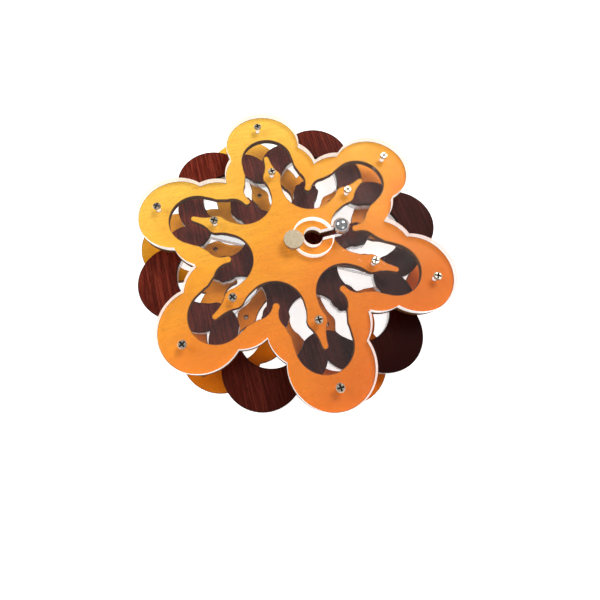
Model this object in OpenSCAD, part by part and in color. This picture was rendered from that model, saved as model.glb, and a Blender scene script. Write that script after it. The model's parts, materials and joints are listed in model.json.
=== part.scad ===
// Flower-shaped ball labyrinth: a clear-covered maze on top, a turning dark flower in the
// middle and a second maze underneath, all on one pivot, with a loose steel ball.

/* [Flower] */
// Radius of the circle through the petal-tip screws
petal_r = 55; // [52:0.5:60]
// Resting turn of the dark flower, in degrees
rotor_rest = 1; // [-10:0.5:10]
// Resting turn of the bottom maze against the top one, in degrees
bottom_rest = 10; // [-20:0.5:20]

/* [Sheets] */
// Thickness of the two clear covers
cover_t = 3; // [2:0.1:4]
// Thickness of the golden maze sheets
maze_t = 2.4; // [1.8:0.1:4]
// Thickness of the dark wooden faces
face_t = 1.6; // [1:0.1:3]
// Thickness of the clear core under the dark faces
core_t = 3; // [2:0.1:4]
// Height of the spacer tube that makes room for the ball
spacer_h = 4.1; // [3:0.1:6]

/* [Pivot] */
// Diameter of the pivot barrel
barrel_d = 5; // [4:0.1:5.5]
// Diameter of the pivot's flat head
head_d = 7.6; // [7:0.1:7.8]
// Thickness of the pivot's flat head
head_t = 1.4; // [1:0.1:2]
// Diameter of the pivot screw's shank
shank_d = 3; // [2.5:0.1:3]
// Diameter of the pivot screw's sunk head
sunk_d = 9; // [8:0.1:10]
// Thickness of the two pivot washers
washer_t = 0.8; // [0.5:0.1:1.2]
// Outer diameter of the washers and the spacer tube
washer_d = 8.4; // [7.6:0.1:8.6]

/* [Screws] */
// Shank diameter of the maze screws
screw_d = 1.6; // [1.4:0.1:2]
// Head diameter of the maze screws
screw_head_d = 3.2; // [3:0.1:3.6]
// Head height of the upper maze screws
screw_head_h = 0.8; // [0.6:0.1:1]

/* [Ball and keyhole] */
// Diameter of the steel ball
ball_d = 6.35; // [6:0.05:6.5]
// Diameter of the keyhole's round part
keyhole_d = 7.4; // [7:0.1:7.6]
// Width of the keyhole's neck and of the slot that it leads to
slot_w = 3.1; // [2.6:0.1:3.4]

/* [Hidden] */
$fn = 64;

petals = 6;
pitch = 360 / petals;
chord_gap = 0.02;     // how far an outline's straight steps may leave their arc
play = 0.1;           // axial play beside each washer
fit = 0.05;           // radial clearance of every running fit
thread_fit = 0.02;    // radial clearance of screws in their own holes
cut = 0.5;            // how far cutters run past a face
spoke_w = 3;          // width of the clear spokes that carry the dark star

// heights of the sheets, from the flat underside up
z_bottom_maze = cover_t;
z_lower_washer = z_bottom_maze + maze_t;
z_core = z_lower_washer + washer_t + play;
z_face = z_core + core_t;
z_upper_washer = z_face + face_t + play;
z_spacer = z_upper_washer + washer_t;
z_top_maze = z_spacer + spacer_h;
z_top_cover = z_top_maze + maze_t;
z_top = z_top_cover + cover_t;

// screws, keyhole and ball, from the radius of the petal screws
arm_screw_r = 0.575 * petal_r;
low_screw_r = 1.05 * petal_r;
recess_d = 0.76 * screw_head_d;
keyhole_x = 0.146 * petal_r;
plate_r = 0.145 * petal_r;
ball_x = 0.34 * petal_r;
slot_end_x = ball_x + slot_w / 2;
ball_sink = ball_d / 2 - sqrt(pow(ball_d / 2, 2) - pow(slot_w / 2, 2)) - play;
gate_angle = 90;      // the petal line on which the dark flower lets the ball in

// Outlines. Each is half a petal as a chain of arcs in parts of petal_r: a corner, then how far
// the arc to the next corner bulges to its right. X runs along the petal and the chain starts
// on the line between two petals. The last arc crosses the petal's axis to its mirror image.
function polar(r, a) = [r * cos(a), r * sin(a)];
function between(r, a) = polar(r, a - pitch / 2);
outer_chain = [[between(0.69, 0), 0.02], [[0.775, -0.268], 0.36]];
window_chain = [[between(0.445, 0), -0.0066], [between(0.468, 3), 0.022],
    [[0.55, -0.214], 0], [[0.63, -0.192], 0.002], [[0.71, -0.192], 0.2]];
star_chain = [[between(0.295, 0), -0.0232], [[0.415, -0.046], 0], [[0.475, -0.047], -0.003],
    [[0.545, -0.066], 0.006], [[0.6, -0.058], -0.006], [[0.695, -0.024], 0], [[0.738, -0.02], 0.018]];
rotor_window_chain = [[between(0.615, 0), -0.009], [between(0.66, 10), 0.004],
    [[0.695, -0.212], 0.158]];
rotor_star_chain = [[between(0.345, 0), -0.0238], [[0.45, -0.08], 0.008], [[0.52, -0.09], 0.012],
    [[0.565, -0.07], 0.004], [[0.62, -0.026], 0.02]];

// points of the arc from p to q that bulges by s to the right, without q itself
function arc_pts(p, q, s) =
    abs(s) < 0.0005 ? [p] :
    let (d = q - p, c = norm(d), r = (c * c / 4 + s * s) / (2 * s),
        centre = (p + q) / 2 - [d[1], -d[0]] / c * (r - s),
        v = p - centre, sweep = 4 * atan(2 * s / c),
        step = 2 * acos(1 - chord_gap / petal_r / abs(r)), n = ceil(abs(sweep) / step))
    [for (i = [0:n - 1]) let (a = sweep * i / n)
        centre + [v[0] * cos(a) - v[1] * sin(a), v[0] * sin(a) + v[1] * cos(a)]];
function flip(p) = [p[0], -p[1]];
function turn(p, a) = [p[0] * cos(a) - p[1] * sin(a), p[0] * sin(a) + p[1] * cos(a)];
function petal_pts(h) = let (n = len(h))
    concat([for (i = [0:n - 1]) each arc_pts(h[i][0], i < n - 1 ? h[i + 1][0] : flip(h[i][0]), h[i][1])],
        [for (i = [n - 1:-1:1]) each arc_pts(flip(h[i][0]), flip(h[i - 1][0]), h[i - 1][1])]);

module flower(half, first = pitch / 2) {
    polygon([for (k = [0:petals - 1]) for (p = petal_pts(half)) petal_r * turn(p, first + k * pitch)]);
}

module around(r, first = pitch / 2) {
    for (k = [0:petals - 1]) rotate(first + k * pitch) translate([r, 0]) children();
}

module sheet(z, t) {
    translate([0, 0, z]) linear_extrude(t) children();
}

module screw_holes(r) {
    around(r) circle(d = screw_d + 2 * thread_fit);
}

// the round hole, its neck and the slot, as far out as x_end
module keyhole(x_end) {
    translate([keyhole_x, 0]) circle(d = keyhole_d);
    translate([keyhole_x, -slot_w / 2]) square([x_end - keyhole_x - slot_w / 2, slot_w]);
    translate([x_end - slot_w / 2, 0]) circle(d = slot_w);
}

// --- the golden mazes: a rim with inward fingers and a star with six arms ---
module maze_rim(screw_circle) {
    difference() {
        flower(outer_chain);
        flower(window_chain);
        screw_holes(screw_circle);
    }
}

module maze_star() {
    difference() {
        flower(star_chain);
        circle(d = barrel_d + 2 * fit);
        screw_holes(arm_screw_r);
    }
}

module bottom_rim() {
    color("darkorange") rotate(bottom_rest) sheet(z_bottom_maze, maze_t) maze_rim(low_screw_r);
}

module bottom_star() {
    color("orange") rotate(bottom_rest) sheet(z_bottom_maze, maze_t) maze_star();
}

module top_rim() {
    color("goldenrod") sheet(z_top_maze, maze_t) maze_rim(petal_r);
}

module top_star() {
    color("gold") sheet(z_top_maze, maze_t) difference() {
        maze_star();
        keyhole(slot_end_x);
    }
}

// --- clear covers ---
module sunk_screw_hole() {
    translate([0, 0, -cut]) cylinder(d = screw_d + 2 * thread_fit, h = cover_t + 2 * cut);
    sunk_cone(thread_fit, cut);
}

// the conical head of a lower screw, grown by gap and carried on below the face by below
module sunk_cone(gap, below) {
    head_r = screw_head_d / 2;
    depth = head_r - screw_d / 2;
    translate([0, 0, -below])
        cylinder(r1 = head_r + gap + below, r2 = screw_d / 2 + gap, h = depth + below);
}

module bottom_cover() {
    color("lightcyan", 0.4) rotate(bottom_rest) difference() {
        sheet(0, cover_t) flower(outer_chain);
        around(low_screw_r) sunk_screw_hole();
        around(arm_screw_r) sunk_screw_hole();
        translate([0, 0, -cut]) cylinder(d = barrel_d + 2 * fit, h = cover_t + 2 * cut);
        translate([0, 0, -cut]) cylinder(d = sunk_d + 6 * fit, h = head_t + cut);
    }
}

module top_cover() {
    color("lightcyan", 0.4) sheet(z_top_cover, cover_t) difference() {
        flower(outer_chain);
        screw_holes(petal_r);
        screw_holes(arm_screw_r);
        circle(d = barrel_d + 2 * fit);
        translate([keyhole_x, 0]) circle(r = plate_r);
        keyhole(slot_end_x);
    }
}

module keyhole_plate() {
    color("azure", 0.5) sheet(z_top_cover, cover_t) difference() {
        translate([keyhole_x, 0]) circle(r = plate_r - 2 * fit);
        circle(d = barrel_d + 2 * fit);
        keyhole(slot_end_x);
    }
}

// --- the dark flower: two wooden faces on one clear core ---
module rotor_outline() {
    around(0.853 * petal_r, 0) circle(r = 0.272 * petal_r);
    around(0.719 * petal_r, 0) for (s = [-1, 1]) translate([0, s * 0.206 * petal_r])
        circle(r = 0.2 * petal_r);
    circle(r = 0.75 * petal_r);
}

// the gate in the dark star's hub: a ball's width, from under the keyhole's circle outwards
module gate() {
    rotate(gate_angle) {
        translate([keyhole_x, 0]) circle(d = keyhole_d);
        translate([keyhole_x, -keyhole_d / 2]) square([0.45 * petal_r - keyhole_x, keyhole_d]);
    }
}

module spokes() {
    for (a = [pitch / 2:pitch:360]) if (a != gate_angle) rotate(a)
        translate([0.28 * petal_r, -spoke_w / 2]) square([0.4 * petal_r, spoke_w]);
}

module rotor_core() {
    color("lightcyan", 0.5) rotate(rotor_rest) sheet(z_core, core_t) difference() {
        rotor_outline();
        difference() {
            flower(rotor_window_chain, 0);
            flower(rotor_star_chain, 0);
            spokes();
        }
        circle(d = barrel_d + 2 * fit);
        gate();
    }
}

module rotor_rim() {
    color("saddlebrown") rotate(rotor_rest) sheet(z_face, face_t) difference() {
        rotor_outline();
        flower(rotor_window_chain, 0);
    }
}

module rotor_star() {
    color("sienna") rotate(rotor_rest) sheet(z_face, face_t) difference() {
        flower(rotor_star_chain, 0);
        circle(d = barrel_d + 2 * fit);
        gate();
    }
}

// --- pivot ---
module ring(z, h) {
    sheet(z, h) difference() {
        circle(d = washer_d);
        circle(d = barrel_d + 2 * fit);
    }
}

module lower_washer() {
    color("ivory") ring(z_lower_washer, washer_t);
}

module upper_washer() {
    color("ivory") ring(z_upper_washer, washer_t);
}

module spacer_tube() {
    color("white") ring(z_spacer, spacer_h);
}

module pivot_barrel() {
    color("silver") difference() {
        union() {
            translate([0, 0, head_t]) cylinder(d = barrel_d, h = z_top + play - head_t + cut);
            translate([0, 0, z_top + play]) cylinder(d = head_d, h = head_t);
        }
        translate([0, 0, head_t - cut]) cylinder(d = shank_d, h = z_top - cover_t + cut);
    }
}

module pivot_screw() {
    color("silver") difference() {
        union() {
            translate([0, 0, play]) cylinder(d = sunk_d, h = head_t - play);
            translate([0, 0, play]) cylinder(d = shank_d - 2 * thread_fit, h = z_top / 2);
        }
        translate([0, 0, play]) cube([sunk_d + cut, 1, 1.2], center = true);
    }
}

// --- maze screws ---
module cross_recess(size, depth) {
    for (a = [0, 90]) rotate(a) cube([size, size / 4, 2 * depth], center = true);
}

module top_screw() {
    length = cover_t + maze_t - cut;
    difference() {
        union() {
            translate([0, 0, -length]) cylinder(d = screw_d, h = length);
            cylinder(d = screw_head_d, h = screw_head_h / 2);
            translate([0, 0, screw_head_h / 2])
                cylinder(d1 = screw_head_d, d2 = 0.8 * screw_head_d, h = screw_head_h / 2);
        }
        translate([0, 0, screw_head_h]) cross_recess(recess_d, 0.6);
    }
}

module bottom_screw() {
    difference() {
        union() {
            cylinder(d = screw_d, h = cover_t + maze_t - 2 * cut);
            sunk_cone(0, 0);
        }
        cross_recess(recess_d, 0.5);
    }
}

module top_rim_screws() {
    color("gainsboro") translate([0, 0, z_top]) around(petal_r) top_screw();
}

module top_arm_screws() {
    color("gainsboro") translate([0, 0, z_top]) around(arm_screw_r) top_screw();
}

module bottom_rim_screws() {
    color("gainsboro") rotate(bottom_rest) around(low_screw_r) bottom_screw();
}

module bottom_arm_screws() {
    color("gainsboro") rotate(bottom_rest) around(arm_screw_r) bottom_screw();
}

module steel_ball() {
    color("lightgray") translate([ball_x, 0, z_top + ball_d / 2 - ball_sink]) sphere(d = ball_d);
}

bottom_cover();
bottom_rim();
bottom_star();
bottom_rim_screws();
bottom_arm_screws();
lower_washer();
rotor_core();
rotor_rim();
rotor_star();
upper_washer();
spacer_tube();
top_rim();
top_star();
top_cover();
keyhole_plate();
top_rim_screws();
top_arm_screws();
pivot_barrel();
pivot_screw();
steel_ball();
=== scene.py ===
import json
import math

import bmesh
import bpy
from mathutils import Matrix, Vector


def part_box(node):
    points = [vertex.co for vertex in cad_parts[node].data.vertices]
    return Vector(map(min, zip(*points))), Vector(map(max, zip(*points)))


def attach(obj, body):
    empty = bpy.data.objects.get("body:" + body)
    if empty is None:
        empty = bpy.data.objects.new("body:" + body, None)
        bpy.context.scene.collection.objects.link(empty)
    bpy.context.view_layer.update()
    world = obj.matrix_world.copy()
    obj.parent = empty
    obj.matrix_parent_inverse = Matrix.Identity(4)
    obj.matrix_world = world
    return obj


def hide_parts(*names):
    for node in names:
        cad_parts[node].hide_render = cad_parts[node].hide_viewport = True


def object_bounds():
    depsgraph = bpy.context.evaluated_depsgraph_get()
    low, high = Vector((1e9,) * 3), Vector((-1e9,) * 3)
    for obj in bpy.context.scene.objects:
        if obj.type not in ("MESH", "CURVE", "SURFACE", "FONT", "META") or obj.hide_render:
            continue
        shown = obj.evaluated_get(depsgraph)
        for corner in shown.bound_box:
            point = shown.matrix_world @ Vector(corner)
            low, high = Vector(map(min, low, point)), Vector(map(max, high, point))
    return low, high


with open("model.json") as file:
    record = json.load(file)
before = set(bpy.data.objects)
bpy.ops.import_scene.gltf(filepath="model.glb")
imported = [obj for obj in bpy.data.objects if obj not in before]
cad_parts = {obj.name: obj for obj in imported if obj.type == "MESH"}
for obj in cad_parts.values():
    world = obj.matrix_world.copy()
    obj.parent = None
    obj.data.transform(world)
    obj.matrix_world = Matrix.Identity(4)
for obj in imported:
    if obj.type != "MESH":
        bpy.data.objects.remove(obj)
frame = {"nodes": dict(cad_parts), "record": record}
cad_box = [list(v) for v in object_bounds()]
MM = 0.001

WOOD_ROUND, SINGED = 0.10 * MM, 0.35 * MM  # rounding of the wood's edges, width of the burnt strip
COVER_ROUND, CORE_ROUND = 0.22 * MM, 0.18 * MM
CLEAR_GAP = 0.02 * MM                      # a clear sheet's face stands off its neighbour by this
SCREW_ROUND, PIVOT_SCREW_ROUND = 0.05 * MM, 0.12 * MM
BARREL_ROUND, NYLON_ROUND = 0.22 * MM, 0.15 * MM
RECESS_TOP, RECESS_FLOOR, RECESS_REACH = 0.04 * MM, 0.65 * MM, 1.25 * MM
FLOOR_GAP = 0.02 * MM
ACRYLIC_IOR = 1.49


# ---------------------------------------------------------------- node helpers
class Tree:
    """A material's node tree with short ways to add maths, noise, mixes and ramps."""

    def __init__(self, name):
        self.mat = bpy.data.materials.new(name)
        self.mat.use_nodes = True
        self.nodes, self.links = self.mat.node_tree.nodes, self.mat.node_tree.links
        self.bsdf = self.nodes["Principled BSDF"]
        self.coords = self.nodes.new("ShaderNodeTexCoord")

    def put(self, socket, value):
        if isinstance(value, bpy.types.NodeSocket):
            self.links.new(value, socket)
        elif isinstance(value, (tuple, list)) and len(value) == 3 and socket.type == "RGBA":
            socket.default_value = (*value, 1)
        elif isinstance(value, (int, float)) and socket.type == "RGBA":
            socket.default_value = (value, value, value, 1)
        else:
            socket.default_value = value

    def set(self, **values):
        for name, value in values.items():
            self.put(self.bsdf.inputs[name.replace("_", " ")], value)

    def math(self, op, a, b=0.0, c=0.0, clamp=False):
        n = self.nodes.new("ShaderNodeMath")
        n.operation, n.use_clamp = op, clamp
        for socket, value in zip(n.inputs, (a, b, c)):
            self.put(socket, value)
        return n.outputs[0]

    def place(self, scale=(1, 1, 1), turn=0.0, shift=(0, 0, 0)):
        """Object coordinates in millimetres, turned about Z and then scaled."""
        n = self.nodes.new("ShaderNodeMapping")
        self.put(n.inputs["Vector"], self.coords.outputs["Object"])
        n.inputs["Scale"].default_value = [1000 * s for s in scale]
        n.inputs["Rotation"].default_value = (0, 0, math.radians(turn))
        n.inputs["Location"].default_value = shift
        return n.outputs[0]

    def noise(self, where, scale=1.0, detail=4.0, rough=0.55, distortion=0.0):
        n = self.nodes.new("ShaderNodeTexNoise")
        self.put(n.inputs["Vector"], where)
        n.inputs["Scale"].default_value = scale
        n.inputs["Detail"].default_value = detail
        n.inputs["Roughness"].default_value = rough
        n.inputs["Distortion"].default_value = distortion
        return n.outputs["Fac"]

    def ramp(self, fac, *stops):
        n = self.nodes.new("ShaderNodeValToRGB")
        self.put(n.inputs[0], fac)
        while len(n.color_ramp.elements) < len(stops):
            n.color_ramp.elements.new(0.5)
        for e, (at, col) in zip(n.color_ramp.elements, stops):
            e.position = at
            e.color = (*col, 1) if isinstance(col, tuple) else (col, col, col, 1)
        return n.outputs[0]

    def mix(self, fac, a, b):
        n = self.nodes.new("ShaderNodeMix")
        n.data_type = "RGBA"
        self.put(n.inputs["Factor"], fac)
        self.put(n.inputs[6], a)
        self.put(n.inputs[7], b)
        return n.outputs[2]

    def xyz(self, vector):
        n = self.nodes.new("ShaderNodeSeparateXYZ")
        self.put(n.inputs[0], vector)
        return n.outputs

    def bump(self, height, strength, distance):
        n = self.nodes.new("ShaderNodeBump")
        n.inputs["Strength"].default_value = strength
        n.inputs["Distance"].default_value = distance
        self.put(n.inputs["Height"], height)
        self.put(self.bsdf.inputs["Normal"], n.outputs[0])

    def attribute(self, name):
        n = self.nodes.new("ShaderNodeAttribute")
        n.attribute_name = name
        return n.outputs["Fac"]

    def wall(self, low=0.5, high=0.8):
        """1 on upright cut walls, 0 on flat faces."""
        z = self.math("ABSOLUTE", self.xyz(self.coords.outputs["Normal"])[2])
        return self.ramp(z, (low, 1.0), (high, 0.0))


# ---------------------------------------------------------------- materials
def gold_wood(name, painted_shade_shift):
    """Golden stained plywood. The second argument is how much further the painted shade deepens the
    honey colour, 0 to 1.
    """
    t = Tree(name)
    streak = t.noise(t.place((0.10, 1.3, 1), 8), 1.0, 5, 0.6, 0.4)
    fleck = t.noise(t.place((1.1, 3.6, 1), 8), 1.0, 3, 0.7)
    cloud = t.noise(t.place(), 0.035, 3, 0.5)
    # painted shade: the honey colour deepens towards +X and, more, towards -Y, a fall-off of the
    # light painted into the colour; the cloud noise adds random tone
    p = t.xyz(t.coords.outputs["Object"])
    painted_shade_slope = t.math("MULTIPLY_ADD", p[0], 3.2, 0.43)
    painted_shade_slope = t.math("MULTIPLY_ADD", p[1], -8.4, painted_shade_slope)
    tone = t.math("MULTIPLY_ADD", cloud, 0.5, t.math("SUBTRACT", painted_shade_slope, 0.25 - painted_shade_shift), clamp=True)
    base = t.ramp(tone, (0.0, (0.98, 0.60, 0.060)), (0.30, (0.95, 0.40, 0.010)),
                  (0.55, (0.86, 0.245, 0.003)), (1.0, (0.68, 0.125, 0.001)))
    base = t.mix(t.ramp(streak, (0.35, 0.0), (0.75, 0.30)), base, (0.52, 0.16, 0.012))
    base = t.mix(t.ramp(fleck, (0.52, 0.0), (0.70, 0.50)), base, (0.42, 0.11, 0.008))
    base = t.mix(t.ramp(fleck, (0.24, 0.30), (0.42, 0.0)), base, (1.0, 0.62, 0.16))
    char = t.math("POWER", t.attribute("edge"), 1.6)
    base = t.mix(t.math("MULTIPLY", char, 0.85), base, (0.16, 0.045, 0.010))
    burn = t.noise(t.place((1.6, 1.6, 0.25)), 1.0, 3, 0.6)
    ply = t.noise(t.place((0.05, 0.05, 1.9)), 1.0, 2, 0.5)
    wall = t.mix(burn, (0.050, 0.018, 0.007), (0.150, 0.058, 0.020))
    wall = t.mix(t.ramp(ply, (0.45, 0.0), (0.60, 0.35)), wall, (0.24, 0.105, 0.035))
    mask = t.wall()
    rough = t.ramp(t.mix(mask, streak, 1.0), (0.3, 0.36), (1.0, 0.72))
    t.set(Base_Color=t.mix(mask, base, wall), Roughness=rough, Specular_IOR_Level=0.10)
    t.bump(t.math("MULTIPLY_ADD", fleck, 0.5, streak), 0.22, 0.06 * MM)
    return t.mat


def dark_wood():
    """Dark red stained wood with a straight grain along Y."""
    t = Tree("dark_stained_wood")
    streak = t.noise(t.place((1.15, 0.045, 1), 3), 1.0, 6, 0.62, 0.6)
    fine = t.noise(t.place((4.2, 0.16, 1), 3), 1.0, 4, 0.65)
    pore = t.noise(t.place((7.0, 0.7, 1), 3), 1.0, 2, 0.5)
    base = t.ramp(streak, (0.28, (0.030, 0.0024, 0.0012)), (0.50, (0.115, 0.0115, 0.0050)),
                  (0.62, (0.230, 0.034, 0.017)), (0.78, (0.075, 0.0080, 0.0040)))
    base = t.mix(t.ramp(fine, (0.48, 0.0), (0.70, 0.55)), base, (0.260, 0.052, 0.028))
    base = t.mix(t.ramp(pore, (0.56, 0.0), (0.66, 0.65)), base, (0.008, 0.004, 0.003))
    # painted shade: the wood darkens towards +X and -Y, a fall-off of the light painted into the
    # colour
    p = t.xyz(t.coords.outputs["Object"])
    painted_shade_slope = t.math("MULTIPLY_ADD", p[1], -7.5, t.math("MULTIPLY_ADD", p[0], 6.5, 0.45), clamp=True)
    base = t.mix(painted_shade_slope, base, (0.016, 0.0009, 0.0005))
    char = t.attribute("edge")
    base = t.mix(t.math("MULTIPLY", char, 0.6), base, (0.010, 0.005, 0.004))
    burn = t.noise(t.place((1.6, 1.6, 0.3)), 1.0, 3, 0.6)
    mask = t.wall()
    wall = t.mix(burn, (0.010, 0.006, 0.005), (0.045, 0.020, 0.014))
    t.set(Base_Color=t.mix(mask, base, wall), Roughness=t.ramp(fine, (0.3, 0.34), (0.8, 0.56)),
          Specular_IOR_Level=0.05)
    t.bump(t.math("MULTIPLY_ADD", pore, -0.6, fine), 0.30, 0.05 * MM)
    return t.mat


def clear(name, face_alpha, wall_dark, wall_light, wall_alpha, painted_glow):
    """Clear sheet: the faces show what is under them, the laser-cut walls catch the light, and the
    last argument adds painted light to the walls, an emission for light piped along the sheet.
    """
    t = Tree(name)
    mask = t.wall(0.62, 0.93)
    lines = t.noise(t.place((1.4, 1.4, 0.12)), 1.0, 3, 0.6)
    glare = t.nodes.new("ShaderNodeLayerWeight")
    glare.inputs["Blend"].default_value = 0.22  # little glare from straight above
    dust = t.noise(t.place((0.6, 0.6, 1)), 1.0, 5, 0.75)
    face_a = t.math("MULTIPLY_ADD", glare.outputs["Fresnel"], 0.30, face_alpha)
    face_a = t.math("ADD", face_a, t.ramp(dust, (0.55, 0.0), (0.80, 0.02)))
    wall_a = t.math("MULTIPLY_ADD", lines, 0.30, wall_alpha - 0.15)
    alpha = t.mix(mask, face_a, wall_a)
    band = t.mix(t.ramp(lines, (0.30, 0.0), (0.70, 1.0)), wall_dark, wall_light)
    # painted light: the walls glow by an emission, standing for light piped along the sheet
    t.set(Base_Color=t.mix(mask, (0.93, 0.95, 0.96), band),
          Alpha=t.math("MULTIPLY", alpha, 1.0, clamp=True),
          Roughness=t.ramp(mask, (0.0, 0.04), (1.0, 0.24)), IOR=ACRYLIC_IOR,
          Emission_Color=t.math("MULTIPLY", mask, painted_glow), Emission_Strength=1.0,
          Specular_IOR_Level=0.6)
    t.bump(lines, 0.12, 0.05 * MM)
    return t.mat


def metal(name, colour, rough_lo, rough_hi, grain=(9, 9, 9), strength=0.10):
    """Scuffed bright metal, its roughness drifting between rough_lo and rough_hi."""
    t = Tree(name)
    scuff = t.noise(t.place(grain), 1.0, 4, 0.6)
    smear = t.noise(t.place((0.5, 0.5, 0.5)), 1.0, 3, 0.5)
    shade = tuple(0.72 * c for c in colour)
    t.set(Base_Color=t.mix(t.ramp(scuff, (0.35, 0.0), (0.75, 0.6)), colour, shade), Metallic=1.0,
          Roughness=t.ramp(t.math("MULTIPLY_ADD", smear, 0.5, t.math("MULTIPLY", scuff, 0.5)),
                           (0.3, rough_lo), (0.7, rough_hi)))
    t.bump(scuff, strength, 0.02 * MM)
    return t.mat


def turned_metal():
    """Satin metal with fine rings about the pivot's axis and a sandy face."""
    t = Tree("satin_turned_steel")
    p = t.xyz(t.coords.outputs["Object"])
    r = t.math("SQRT", t.math("ADD", t.math("POWER", p[0], 2.0), t.math("POWER", p[1], 2.0)))
    rings = t.math("SINE", t.math("MULTIPLY", r, 2 * math.pi / (0.16 * MM)))
    grit = t.noise(t.place((5, 5, 5)), 1.0, 5, 0.7)
    coarse = t.noise(t.place((1.1, 1.1, 1)), 1.0, 4, 0.6)
    sand = t.math("MULTIPLY_ADD", coarse, 0.5, t.math("MULTIPLY", grit, 0.5))
    tone = t.math("MULTIPLY_ADD", rings, 0.06, sand)
    colour = t.ramp(tone, (0.30, (0.28, 0.22, 0.15)), (0.50, (0.39, 0.32, 0.22)),
                    (0.70, (0.50, 0.43, 0.32)))
    t.set(Base_Color=colour, Metallic=0.75, Roughness=t.ramp(grit, (0.3, 0.42), (0.7, 0.60)))
    t.bump(t.math("MULTIPLY_ADD", rings, 0.25, grit), 0.25, 0.02 * MM)
    return t.mat


def painted_recess_shade():
    """Painted shade inside a screw's cross recess, where the light does not reach."""
    t = Tree("recess_shadow")
    n = t.noise(t.place((3, 3, 3)), 1.0, 3, 0.5)
    t.set(Base_Color=t.ramp(n, (0.3, (0.012, 0.010, 0.009)), (0.7, (0.045, 0.040, 0.036))),
          Metallic=0.6, Roughness=t.ramp(n, (0.3, 0.45), (0.7, 0.7)))
    t.bump(n, 0.2, 0.02 * MM)
    return t.mat


def nylon():
    """Off-white nylon of the washers and the spacer."""
    t = Tree("nylon_washer")
    n = t.noise(t.place((1.5, 1.5, 1.5)), 1.0, 5, 0.6)
    t.set(Base_Color=t.ramp(n, (0.3, (0.70, 0.69, 0.66)), (0.7, (0.84, 0.83, 0.80))),
          Roughness=t.ramp(n, (0.3, 0.42), (0.7, 0.60)),
          Subsurface_Weight=0.1, Subsurface_Scale=0.001)
    t.bump(n, 0.15, 0.03 * MM)
    return t.mat


# golden_wood_low is the same wood as golden_wood, pushed 0.10 further into painted shade for the
# lower sheets, which lie under the other layers
GOLD = gold_wood("golden_wood", 0.0)
GOLD_LOW = gold_wood("golden_wood_low", 0.10)
DARK = dark_wood()
# both clear sheets glow along their walls by painted light; the core's greyer walls and weaker glow
# are painted shade, for walls that face the shade inside the flower
COVER = clear("clear_cover", 0.008, (0.80, 0.80, 0.79), (0.99, 0.99, 0.98), 0.92, 0.42)
CORE = clear("clear_core", 0.02, (0.40, 0.39, 0.40), (0.80, 0.78, 0.79), 0.75, 0.10)
NICKEL = metal("nickel_screw", (0.64, 0.56, 0.45), 0.16, 0.34)
CHROME = metal("ball_steel", (0.52, 0.52, 0.53), 0.035, 0.10, (3, 3, 3), 0.03)
TURNED = turned_metal()
RECESS_SHADE = painted_recess_shade()
NYLON = nylon()


# ---------------------------------------------------------------- pieces
def sharp_edges(bm, angle):
    least = math.radians(angle)
    return [e for e in bm.edges if len(e.link_faces) == 2 and e.calc_face_angle(0) > least]


def softened(node, body, mats, width, band=0.0, angle=50, segments=2, dark=None, thin=0.0):
    """A copy of a CAD node with its sharp edges rounded by width, standing in for the node.
    band is the width of the singed strip along the outlines; dark(face) picks slot 1;
    thin keeps a clear sheet's faces just off the sheets that it touches."""
    mesh = frame["nodes"][node].data.copy()
    if "custom_normal" in mesh.attributes:
        mesh.attributes.remove(mesh.attributes["custom_normal"])
    piece = bpy.data.objects.new("fine_" + node, mesh)
    bpy.context.scene.collection.objects.link(piece)
    bm = bmesh.new()
    bm.from_mesh(mesh)
    bmesh.ops.remove_doubles(bm, verts=bm.verts, dist=1e-7)
    bm.normal_update()
    bmesh.ops.bevel(bm, geom=sharp_edges(bm, angle), offset=width, segments=segments, profile=0.6,
                    affect="EDGES", clamp_overlap=True)
    bm.normal_update()
    lo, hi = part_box(node)
    for v in bm.verts:
        v.co.z += thin if v.co.z < (lo[2] + hi[2]) / 2 else -thin
    edge = bm.verts.layers.float.new("edge")
    if band:
        caps = [f for f in bm.faces if abs(f.normal.z) > 0.999]
        bmesh.ops.inset_region(bm, faces=caps, thickness=band, use_even_offset=True,
                               use_boundary=True)
        # the caps' own corners move inwards, and the strip's new outer ones take their place
        bm.normal_update()
        inner = {v for f in caps if f.is_valid for v in f.verts}
        for v in bm.verts:
            v[edge] = 0.0 if v in inner else 1.0
    for f in bm.faces:
        f.smooth = True
        f.material_index = 1 if dark and dark(f) else 0
    # flat faces stay flat, and only the rounded edges and the walls shade smoothly
    crease = math.radians(40)
    for e in bm.edges:
        flat = [abs(f.normal.z) > 0.9999 for f in e.link_faces]
        e.smooth = flat in ([True, True], [False, False]) and e.calc_face_angle(0) < crease
    # the slots come before the faces, because clearing them sets every face to the first slot
    mesh.materials.clear()
    for m in mats:
        mesh.materials.append(m)
    bm.to_mesh(mesh)
    bm.free()
    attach(piece, body)
    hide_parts(node)
    return piece


BODY = {n: b for b, group in frame["record"]["behaviour"]["bodies"].items() for n in group}


def sheet(node, mat, width, band=0.0, thin=0.0):
    return softened(node, BODY[node], [mat], width, band, thin=thin)


for node in ("top_rim", "top_star"):
    sheet(node, GOLD, WOOD_ROUND, SINGED)
for node in ("bottom_rim", "bottom_star"):
    sheet(node, GOLD_LOW, WOOD_ROUND, SINGED)
for node in ("rotor_rim", "rotor_star"):
    sheet(node, DARK, WOOD_ROUND, SINGED)
for node in ("top_cover", "bottom_cover", "keyhole_plate"):
    sheet(node, COVER, COVER_ROUND, thin=CLEAR_GAP)
sheet("rotor_core", CORE, CORE_ROUND, thin=CLEAR_GAP)


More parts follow.
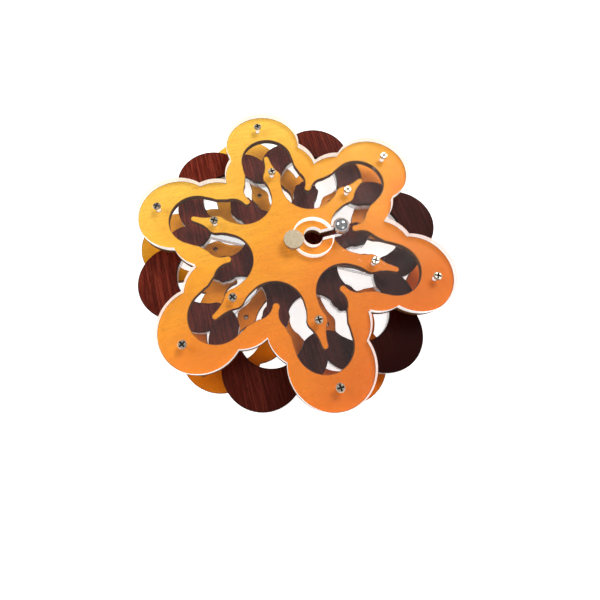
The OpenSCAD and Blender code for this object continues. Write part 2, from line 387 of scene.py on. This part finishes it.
def screw_axes(node):
    """Where each screw of a node stands, from the middle of each separate solid."""
    bm = bmesh.new()
    bm.from_mesh(frame["nodes"][node].data)
    bmesh.ops.remove_doubles(bm, verts=bm.verts, dist=1e-7)
    axes, left = [], set(bm.verts)
    while left:
        island, todo = set(), [next(iter(left))]
        while todo:
            v = todo.pop()
            if v not in island:
                island.add(v)
                todo += [e.other_vert(v) for e in v.link_edges]
        left -= island
        xs, ys = [v.co.x for v in island], [v.co.y for v in island]
        axes.append(Vector(((min(xs) + max(xs)) / 2, (min(ys) + max(ys)) / 2)))
    bm.free()
    return axes


for node in ("top_rim_screws", "top_arm_screws", "bottom_rim_screws", "bottom_arm_screws"):
    face_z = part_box(node)[1][2] if node.startswith("top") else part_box(node)[0][2]

    # the walls and the floor of the cross, by their depth under the head and their reach
    def recess(f, face_z=face_z, axes=screw_axes(node)):
        c = f.calc_center_median()
        upright_or_flat = abs(f.normal.z) < 0.3 or abs(f.normal.z) > 0.95
        return (RECESS_TOP < abs(c.z - face_z) < RECESS_FLOOR and upright_or_flat
                and min((c.xy - a).length for a in axes) < RECESS_REACH)

    # the cross recess faces take slot 1, painted shade for where the light does not reach into them
    softened(node, BODY[node], [NICKEL, RECESS_SHADE], SCREW_ROUND, angle=25, dark=recess)

softened("pivot_barrel", BODY["pivot_barrel"], [TURNED], BARREL_ROUND,
         segments=3)
softened("pivot_screw", BODY["pivot_screw"], [TURNED], PIVOT_SCREW_ROUND)
for node in ("lower_washer", "upper_washer", "spacer_tube"):
    softened(node, BODY[node], [NYLON], NYLON_ROUND)

# the ball, as a fine smooth sphere in the place of the CAD one
lo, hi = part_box("steel_ball")
centre, radius = (lo + hi) / 2, (hi[2] - lo[2]) / 2
mesh = bpy.data.meshes.new("fine_steel_ball")
bm = bmesh.new()
bmesh.ops.create_icosphere(bm, subdivisions=5, radius=radius, matrix=Matrix.Translation(centre))
for f in bm.faces:
    f.smooth = True
bm.to_mesh(mesh)
bm.free()
mesh.materials.append(CHROME)
ball = bpy.data.objects.new("fine_steel_ball", mesh)
bpy.context.scene.collection.objects.link(ball)
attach(ball, BODY["steel_ball"])
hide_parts("steel_ball")


# ---------------------------------------------------------------- floor, light, camera
def floor():
    """A pale plain floor just under the flower, a little brighter than its light makes it."""
    t = Tree("pale_floor")
    n = t.noise(t.place((0.02, 0.02, 0.02)), 1.0, 4, 0.5)
    t.set(Base_Color=t.ramp(n, (0.3, (0.80, 0.80, 0.795)), (0.7, (0.84, 0.84, 0.835))),
          Roughness=0.7, Emission_Color=(1, 1, 1), Emission_Strength=0.75)
    mesh = bpy.data.meshes.new("floor")
    half = 3.0
    corners = [(-half, -half, 0), (half, -half, 0), (half, half, 0), (-half, half, 0)]
    mesh.from_pydata(corners, [], [(0, 1, 2, 3)])
    mesh.materials.append(t.mat)
    o = bpy.data.objects.new("floor", mesh)
    o.location.z = cad_box[0][2] - FLOOR_GAP
    bpy.context.scene.collection.objects.link(o)


def area(name, at, size, watts, colour, to=(0, 0, 0.015)):
    """A round soft lamp at a place in metres, aimed at the middle of the flower."""
    data = bpy.data.lights.new(name, "AREA")
    data.shape, data.size, data.energy, data.color = "DISK", size, watts, colour
    o = bpy.data.objects.new(name, data)
    o.location = at
    o.rotation_euler = (Vector(to) - Vector(at)).to_track_quat("-Z", "Y").to_euler()
    bpy.context.scene.collection.objects.link(o)


floor()
area("key", (0.34, 0.30, 0.62), 0.34, 3.2, (1.0, 0.985, 0.96))
area("window", (-0.55, 0.35, 0.55), 0.45, 2.4, (1.0, 0.99, 0.97))
area("fill", (0.10, -0.75, 0.60), 0.60, 1.2, (0.98, 0.99, 1.0))

# a white dome that greys towards the horizon
world = bpy.data.worlds.new("studio")
world.use_nodes = True
wn, wl = world.node_tree.nodes, world.node_tree.links
coord = wn.new("ShaderNodeTexCoord")
sep = wn.new("ShaderNodeSeparateXYZ")
ramp = wn.new("ShaderNodeValToRGB")
wl.new(coord.outputs["Generated"], sep.inputs[0])
wl.new(sep.outputs[2], ramp.inputs[0])
ramp.color_ramp.elements[0].position, ramp.color_ramp.elements[0].color = 0.0, (0.42, 0.42, 0.43, 1)
ramp.color_ramp.elements[1].position, ramp.color_ramp.elements[1].color = 0.55, (1.0, 1.0, 1.0, 1)
wl.new(ramp.outputs[0], wn["Background"].inputs[0])
wn["Background"].inputs[1].default_value = 0.45
scene = bpy.context.scene
scene.world = world
scene.view_settings.view_transform = "Standard"
scene.view_settings.look = "None"
scene.view_settings.exposure = 0.0

cam = bpy.data.cameras.new("camera")
cam.sensor_width, cam.lens = 36, 24
cam.shift_x, cam.shift_y = 0.04, -0.09
cam.clip_start, cam.clip_end = 0.01, 10
camera = bpy.data.objects.new("camera", cam)
scene.collection.objects.link(camera)
# turned in radians about X, Y and Z, and placed over the face of the top golden sheet
rx, ry, rz = -0.37886, 0.12725, 0.23928
turn = Matrix.Rotation(rz, 3, "Z") @ Matrix.Rotation(ry, 3, "Y") @ Matrix.Rotation(rx, 3, "X")
face_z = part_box("top_rim")[1][2]
stand = Matrix.Translation((-0.02626, -0.05603, 0.14238 + face_z))
camera.matrix_world = stand @ turn.transposed().to_4x4()
scene.camera = camera
